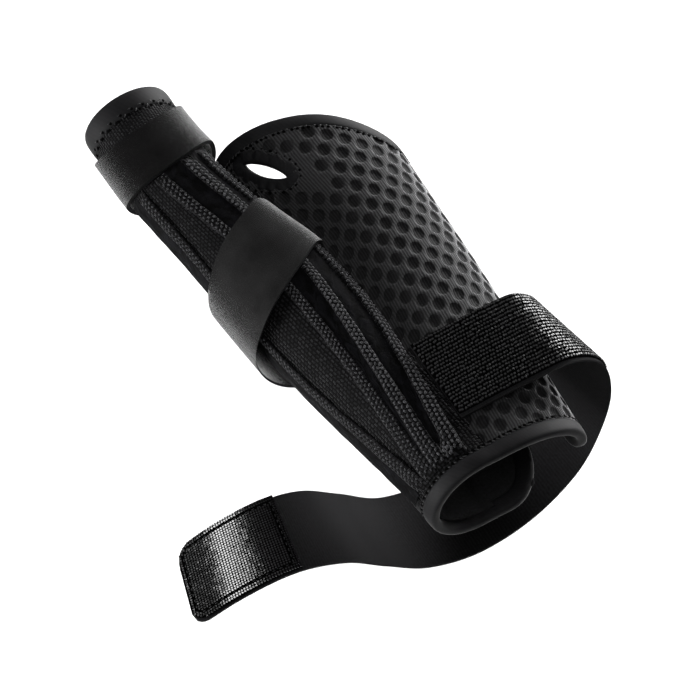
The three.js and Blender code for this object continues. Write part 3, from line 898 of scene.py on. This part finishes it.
def curvePoint(points, share):
    # centripetal curve through the points, by share of the spans
    at = min(max(share, 0), 1) * (len(points) - 1)
    i = min(int(at), len(points) - 2)
    t = at - i
    a = points[i - 1] if i else points[0] * 2 - points[1]
    b, c = points[i], points[i + 1]
    d = points[i + 2] if i + 2 < len(points) else points[-1] * 2 - points[-2]
    knots = [max((q - p).length ** 0.5, 1e-4) for p, q in ((a, b), (b, c), (c, d))]
    startSlope = (b - a) / knots[0] - (c - a) / (knots[0] + knots[1]) + (c - b) / knots[1]
    endSlope = (c - b) / knots[1] - (d - b) / (knots[1] + knots[2]) + (d - c) / knots[2]
    m0, m1 = startSlope * knots[1], endSlope * knots[1]
    return (b * (2 * t ** 3 - 3 * t ** 2 + 1) + c * (3 * t ** 2 - 2 * t ** 3)
            + m0 * (t ** 3 - 2 * t ** 2 + t) + m1 * (t ** 3 - t ** 2))


strapNear = [Vector((row["x"], row["y"], row["z"])) for row in strapRows]
strapFar = []
for near, row in zip(strapNear, strapRows):
    reach = math.sqrt(strapShape["width"] ** 2 - row["leanX"] ** 2 - row["leanZ"] ** 2)
    strapFar.append(near + Vector((row["leanX"], reach, row["leanZ"])))


def strapFrame(share):
    near, far = curvePoint(strapNear, share), curvePoint(strapFar, share)
    step = 0.002
    ahead = curvePoint(strapNear, share + step) + curvePoint(strapFar, share + step)
    back = curvePoint(strapNear, share - step) + curvePoint(strapFar, share - step)
    along = (ahead - back).normalized()
    across = (far - near).normalized()
    return near, far, along, across, along.cross(across).normalized()


def onStrap(share, part, lift, nearInset, farInset):
    near, far, along, across, out = strapFrame(share)
    return (near + across * nearInset).lerp(far - across * farInset, part) + out * lift


def cornerInset(share, end):
    # how far the rounded free end stands in from the edges
    left = (end - share) * strapShape["length"]
    reach = max(1 - left / strapShape["corner"], 0)
    return strapShape["corner"] * (1 - math.sqrt(max(1 - reach * reach, 0)))


def strapSheet(start, end, lift, margins, along, across, rounded, flip):
    def place(u, v):
        share = start + (end - start) * v
        inset = cornerInset(share, end) if rounded else 0
        return onStrap(share, 1 - u if flip else u, lift, margins[0] + inset, margins[1] + inset)

    size = (strapShape["width"] - sum(margins), (end - start) * strapShape["length"])
    return wrappedGrid(across, along, place, size)


def hookPlaces(field, lift, side, offset, unevenness):
    # rows of hooks on a field of the strap, every other row set back by the offset;
    # worn hooks stand a little out of line and lean
    length = (field["to"] - field["from"]) * strapShape["length"]
    width = strapShape["width"] - sum(field["margins"])
    rows, steps = int(width / field["across"]), int(length / field["along"])
    found = []
    for row in range(rows):
        for step in range(steps):
            at = step + 0.5 + (offset if row % 2 else 0)
            share = field["from"] + at / (steps + 0.5) * (field["to"] - field["from"])
            inset = 0.3 + cornerInset(share, field["to"]) * (side < 0)
            near, far, along, across, out = strapFrame(share)
            place = field["margins"][0] + (row + 0.5) / rows * width
            part = place / strapShape["width"]
            edge = min(place - field["margins"][0], strapShape["width"] - field["margins"][1] - place) - inset
            ends = min(share - field["from"], field["to"] - share) * strapShape["length"]
            if edge < 0 or any(abs(min(edge, ends) - seam) < 0.5 for seam in field["seams"]):
                continue
            spot = near.lerp(far, part) + out * lift * side
            slip, stray, lean = [unevenness * noise.noise(spot * 3.7 + out * 40 * k) for k in range(3)]
            spot += along * slip * 1.2 + across * stray * 0.9
            out = (out + along * lean).normalized()
            found.append((spot, across.cross(out).normalized(), across, out * side))
    return found


def seamPlaces(field, lift):
    # the stitches that hold the tab, in the bare line round its border
    found = []
    seam = field["seams"][0] / strapShape["length"]
    first, last = field["from"] + seam, field["to"] - seam
    for part in (0.085, 0.915):
        for k in range(16):
            found.append((first + (last - first) * k / 15, part, False))
    for share in (first, last):
        for k in range(11):
            found.append((share, 0.11 + 0.78 * k / 10, True))
    places = []
    for share, part, turned in found:
        near, far, along, across, out = strapFrame(share)
        spot = near.lerp(far, part) - out * lift
        places.append((spot, across, along, -out) if turned else (spot, along, across, -out))
    return places


def wristStrapCloth():
    bm = strapSheet(0, 1, strapShape["thickness"] / 2, (0, 0), strapShape["along"], strapShape["across"],
                    True, True)
    return finished(bm, "wrist_strap_cloth", ["wrist_strap"], ["ribbed", "edge"],
                    thickness=strapShape["thickness"])


def hookPatchTape():
    base = strapShape["thickness"] / 2 + 0.1
    bm = strapSheet(hookPatch["from"], hookPatch["to"], base + 0.45, hookPatch["margins"], 70, 6, False, True)
    bmesh.ops.solidify(bm, geom=bm.faces[:], thickness=0.45)
    grains(bm, hookPlaces(hookPatch, base + 0.6, 1, 0.5, 0.35), (0.98, 0.88, 0.65), 1)
    return finished(bm, "hook_patch_tape", ["hook_patch"], ["hookGround", "wornHook"])


def hookTabTape():
    base = strapShape["thickness"] / 2 + 0.05
    bm = strapSheet(hookTab["from"], hookTab["to"], -base - 0.25, hookTab["margins"], 60, 6, True, False)
    bmesh.ops.solidify(bm, geom=bm.faces[:], thickness=0.25)
    blocks(bm, hookPlaces(hookTab, base + 0.35, -1, 0, 0.06), (0.54, 0.6, 0.4), 1)
    beads(bm, seamPlaces(hookTab, base + 0.3), (0.7, 0.22, 0.2), 2)
    return finished(bm, "hook_tab_tape", ["hook_tab"], ["hookGround", "hook", "thread"])


wristStrap = wristStrapCloth()
patchTape = hookPatchTape()
tabTape = hookTabTape()


# Rolled bindings with their stitches

wristBand = {"height": 3.0, "thickness": 1.7, "sides": 20, "shift": 0.0, "sewn": 0.93}  # half sizes
fingerBand = {"height": 2.7, "thickness": 1.7, "sides": 20, "shift": 0.35, "sewn": 0.93}
tipBandEdge = {"height": 4.3, "thickness": 1.9, "sides": 20, "shift": 0.0, "sewn": 0.75, "zigzag": 0.7}
webBand = {"height": 2.3, "thickness": 1.4, "sides": 24, "shift": 0.4, "sewn": 0.93, "ruffle": 0.5}
stitching = {"pitch": 1.8, "thread": (0.75, 0.24, 0.3), "hole": (0.65, 0.6, 0.3)}


def wristPath():
    # the forearm edge and the notch, on the flat pattern, with rounded corners
    turn = 2 * math.pi * patternRadius
    flat = [Vector((math.radians(c["bearing"]) * patternRadius, c["y"])) for c in wristCorners]
    middle = (flat[0].x + flat[3].x - turn) / 2
    stops = [Vector((middle, flat[0].y)), *flat, Vector((middle + turn, flat[0].y))]
    points = [stops[0]]
    for before, corner, after, row in zip(stops, stops[1:], stops[2:], wristCorners):
        enter = corner + (before - corner).normalized() * row["radius"]
        leave = corner + (after - corner).normalized() * row["radius"]
        for k in range(9):
            t = k / 8
            points.append(enter * (1 - t) ** 2 + corner * 2 * t * (1 - t) + leave * t * t)
    far = [stops[-1].lerp(points[-1], 0.5)]
    dense = []
    for a, b in zip(points, points[1:] + far):
        parts = max(round((b - a).length), 1)
        dense += [a.lerp(b, k / parts) for k in range(parts)]
    return [(p.x / patternRadius, p.y) for p in dense]


def ringPath(yAt, count=160):
    return [(2 * math.pi * k / count, yAt(2 * math.pi * k / count)) for k in range(count)]


def webPath(count=90):
    lean = math.radians(webHole["slant"])
    found = []
    for k in range(count):
        turn = 2 * math.pi * k / count
        long, short = webHole["halfLength"] * math.cos(turn), webHole["halfWidth"] * math.sin(turn)
        girth = long * math.cos(lean) - short * math.sin(lean)
        found.append((math.radians(webHole["angle"]) + girth / patternRadius,
                      webHole["y"] + long * math.sin(lean) + short * math.cos(lean)))
    return found


def loopFrames(surface, path):
    centres = [surface(angle, y, -wall / 2) for angle, y in path]
    count = len(path)
    found = []
    for i, (angle, y) in enumerate(path):
        out = outward(surface, angle, y, -wall / 2)
        along = (centres[(i + 1) % count] - centres[i - 1]).normalized()
        found.append((centres[i], along, along.cross(out).normalized(), out))
    return found


def bindingCloth(name, surface, path, shape, stitchSide, keep=None):
    frames = loopFrames(surface, path)
    count = len(frames)

    def place(u, v):
        centre, along, across, out = frames[round(v * count) % count]
        turn = 2 * math.pi * u
        c, s = math.cos(turn), math.sin(turn)
        flat = 0.6  # a folded tape is squarer than an oval
        side = shape["height"] * math.copysign(abs(c) ** flat, c) + shape["shift"] * stitchSide
        rise = shape["thickness"] * math.copysign(abs(s) ** flat, s)
        gather = noise.noise(centre / 1.6 + across * side * 0.1) * max(side * stitchSide + 1, 0) * max(s, 0)
        return centre + across * side + out * (rise + shape.get("ruffle", 0) * gather)

    length = sum((frames[i][0] - frames[i - 1][0]).length for i in range(count))
    bm = wrappedGrid(shape["sides"], count, place, (15, length), closed=True)
    bmesh.ops.recalc_face_normals(bm, faces=bm.faces)
    if keep:
        bmesh.ops.delete(bm, geom=[f for f in bm.faces if not keep(f.calc_center_median())], context="FACES")
    sewn, pulled = [], []
    stitches = round(length / stitching["pitch"])
    for k in range(stitches * 2):
        centre, along, across, out = frames[round(k * count / stitches / 2) % count]
        side = shape["height"] * shape["sewn"] + shape["shift"]
        rise = shape["thickness"] * (1 - 0.2 * shape["sewn"])
        spot = centre + across * stitchSide * side + out * rise
        if keep and not keep(spot):
            continue
        zigzag = shape.get("zigzag", 0) * (1 if k % 4 < 2 else -1)
        spot += across * zigzag
        if k % 2:
            lean = (along + across * (0.6 * stitchSide + zigzag)).normalized()
            sewn.append((spot, lean, lean.cross(out).normalized(), out))
        else:
            pulled.append((spot + across * stitchSide * 0.4, along, across, out))
    beads(bm, sewn, stitching["thread"], 1)
    beads(bm, pulled, stitching["hole"], 2)
    return finished(bm, f"{name}_cloth", [name], ["binding", "thread", "hole"])


def outsideThumb(point):
    return within(thumbSections, point, -0.4) > 1


wristBinding = bindingCloth("wrist_binding", onSleeve, wristPath(), wristBand, 1)
tipEdge = bindingCloth("thumb_tip_binding", onThumb, ringPath(lambda a: thumbTip), tipBandEdge, -1)
fingerBinding = bindingCloth("finger_edge_binding", onHand, ringPath(fingerEdge, 200), fingerBand, -1,
                             outsideThumb)
webEdge = bindingCloth("web_hole_binding", onHand, webPath(), webBand, -1, outsideThumb)


# Stage: pale floor, soft light from above and both sides, and the photograph's viewpoint

stageSettings = {
    "floor": -0.110,
    "aim": (-0.0119, 0.0758, -0.0159),
    "middle": (-0.025, 0.085, -0.015),
    "back": (-0.2723, -0.4717, 0.8387),
    "distance": 2.0,
    "lens": 323.5,
}


def buildFloor():
    bm = bmesh.new()
    bmesh.ops.create_grid(bm, x_segments=1, y_segments=1, size=3)
    bmesh.ops.translate(bm, vec=(0, 0, stageSettings["floor"]), verts=bm.verts)
    mesh = bpy.data.meshes.new("floor")
    bm.to_mesh(mesh)
    bm.free()
    floor = bpy.data.objects.new("floor", mesh)
    bpy.context.collection.objects.link(floor)
    paint, tree = newMaterial("floor_paper")
    tone = ramp(tree, spots(tree, 25, 2.0), (0.3, "#f7f7f7"), (0.7, "#fafafa"))
    close(tree, Base_Color=tone, Roughness=0.9, Specular_IOR_Level=0.1)
    mesh.materials.append(paint)


def buildLight(name, place, target, size, power):
    lamp = bpy.data.lights.new(name, "AREA")
    lamp.shape = "RECTANGLE"
    lamp.size, lamp.size_y = size
    lamp.energy = power
    holder = bpy.data.objects.new(name, lamp)
    holder.location = place
    holder.rotation_mode = "QUATERNION"
    holder.rotation_quaternion = (Vector(target) - Vector(place)).to_track_quat("-Z", "Y")
    bpy.context.collection.objects.link(holder)


def buildStage():
    buildFloor()
    middle = (-0.02, 0.08, -0.02)
    buildLight("softbox_top", (-0.35, -0.45, 1.45), middle, (1.0, 1.0), 20)
    buildLight("softbox_right", (1.2, 0.62, 0.16), middle, (0.9, 0.45), 62)
    buildLight("strip_right", (1.18, 0.73, 0.46), middle, (0.4, 0.35), 5)
    buildLight("softbox_left", (-1.15, 0.4, 0.07), middle, (0.9, 0.3), 38)
    buildLight("strip_back", (0.035, 1.15, 0.98), middle, (0.5, 0.28), 5.8)
    world = bpy.data.worlds.new("studio")
    bpy.context.scene.world = world
    world.use_nodes = True
    world.node_tree.nodes["Background"].inputs["Color"].default_value = (1, 1, 1, 1)
    world.node_tree.nodes["Background"].inputs["Strength"].default_value = 0.13
    lens = bpy.data.cameras.new("camera")
    lens.lens = stageSettings["lens"]
    lens.sensor_width = 36
    lens.clip_end = 20
    camera = bpy.data.objects.new("camera", lens)
    back = Vector(stageSettings["back"]) * stageSettings["distance"]
    camera.location = Vector(stageSettings["middle"]) + back
    camera.rotation_mode = "QUATERNION"
    camera.rotation_quaternion = (Vector(stageSettings["aim"]) - camera.location).to_track_quat("-Z", "Y")
    bpy.context.collection.objects.link(camera)
    bpy.context.scene.camera = camera
    bpy.context.scene.view_settings.view_transform = "Standard"


buildStage()
print("stage: floor, lights and camera")
